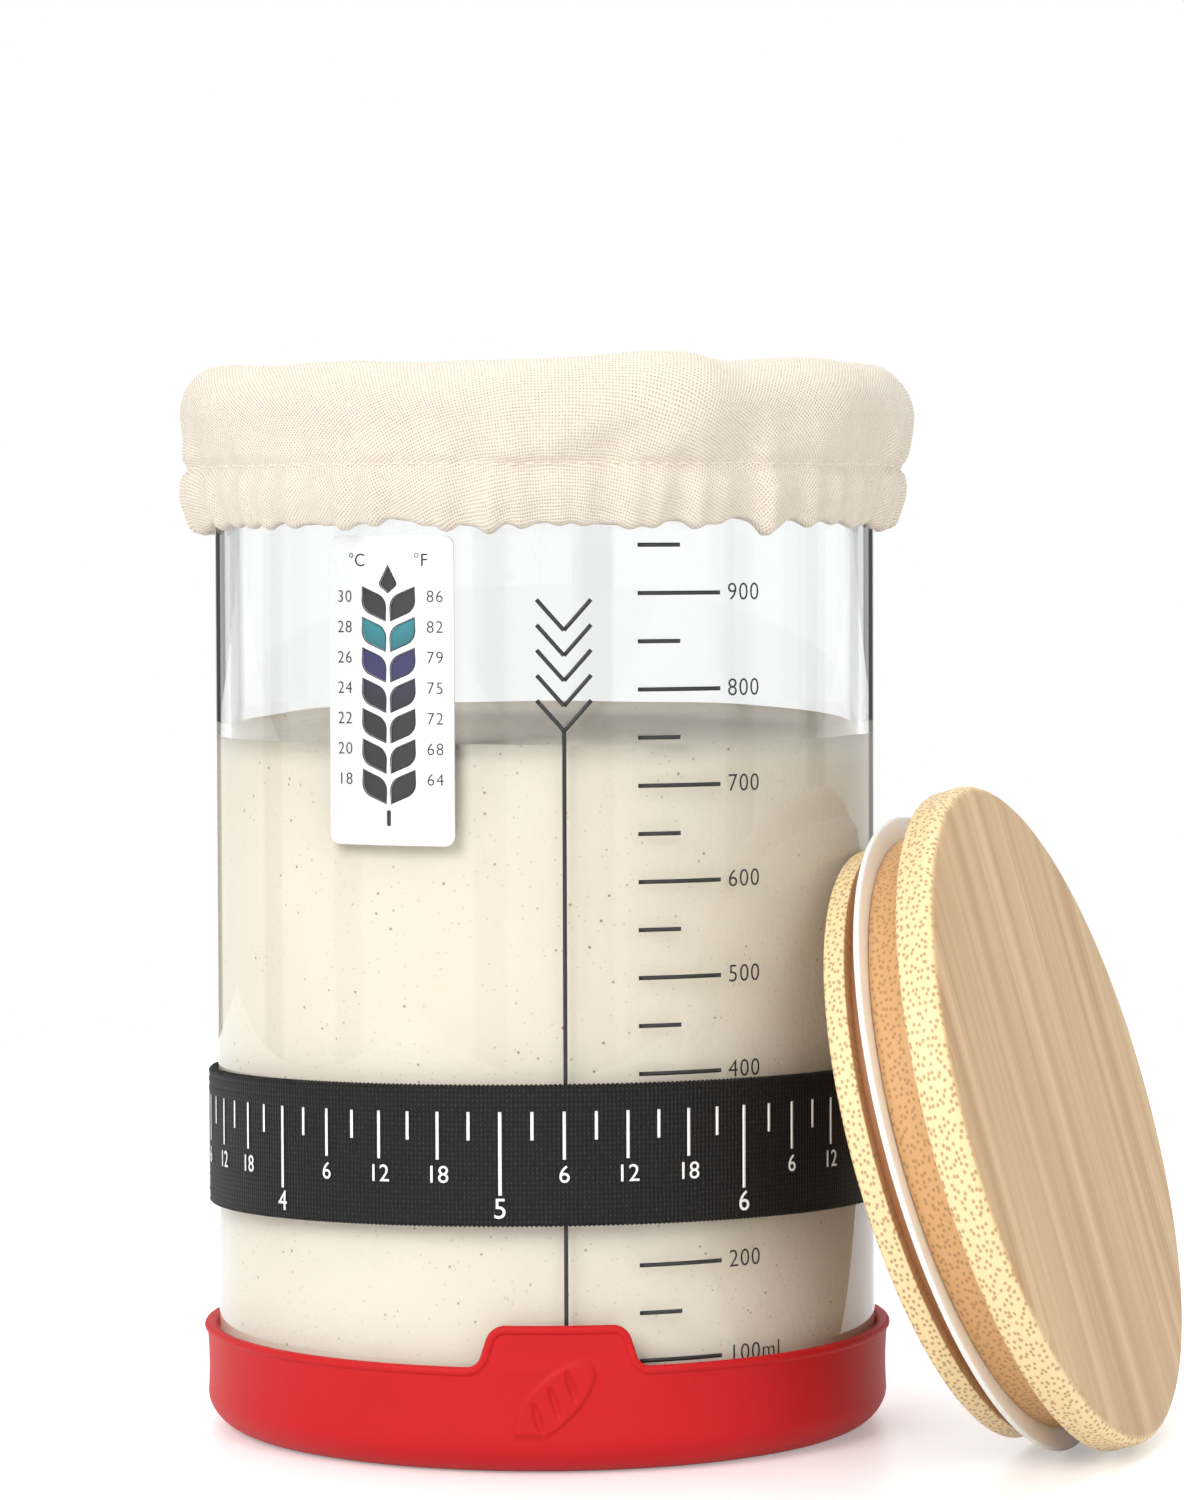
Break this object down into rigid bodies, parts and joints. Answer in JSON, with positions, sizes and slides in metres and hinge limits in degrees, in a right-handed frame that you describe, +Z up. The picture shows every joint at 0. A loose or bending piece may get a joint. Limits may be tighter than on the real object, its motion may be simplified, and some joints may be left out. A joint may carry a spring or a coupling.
{
  "type": "sourdough starter jar",
  "caption": "Glass starter jar with a printed volume scale in a silicone sleeve, with a film thermometer, day band, gathered cloth cover and a leaning bamboo lid.",
  "frame": {"origin": "centre of the sleeve's flat underside, on the jar's axis, at table height", "axes": "+Z up along the jar's axis, -Y towards the sleeve's tab (the jar's front), +X to the right as seen from the front; the leaning lid lies on the +X side"},
  "size_m": [0.1538, 0.133, 0.1608],
  "materials": {
    "red_silicone": "satin moulded silicone",
    "clear_glass": "clear blown glass",
    "starter_dough": "wet flour batter with bran specks",
    "silver_film": "silvered printed film",
    "liquid_crystal": "dark laminated crystal layer",
    "black_elastic": "ribbed woven elastic",
    "natural_linen": "plain-woven unbleached linen",
    "hem_elastic": "braided elastic",
    "bamboo": "sanded, oiled bamboo",
    "white_silicone": "translucent white silicone"
  },
  "bodies": {
    "base": {"silicone_sleeve": "red_silicone"},
    "jar": {"glass_jar": "clear_glass", "starter": "starter_dough", "thermometer_film": "silver_film", "crystal_layer": "liquid_crystal"},
    "band": {"day_band": "black_elastic"},
    "cover": {"cloth_cover": "natural_linen", "hem_elastic": "hem_elastic"},
    "lid": {"bamboo_lid": "bamboo", "lid_seal": "white_silicone"}
  },
  "joints": [
    {"name": "jar_lift", "type": "slide", "parent": "base", "child": "jar", "axis": [0, 0, 1], "range_m": [0, 0.024]},
    {"name": "band_turn", "type": "hinge", "parent": "jar", "child": "band", "pos_m": [0, 0, 0.0446], "axis": [0, 0, 1], "continuous": true},
    {"name": "cover_lift", "type": "slide", "parent": "jar", "child": "cover", "axis": [0, 0, 1], "range_m": [0, 0.05]},
    {"name": "lid_tilt", "type": "hinge", "parent": "base", "child": "lid", "pos_m": [0.08889, -0.03628, 0], "axis": [0.3778, 0.9259, 0], "range_deg": [0, 106]}
  ]
}
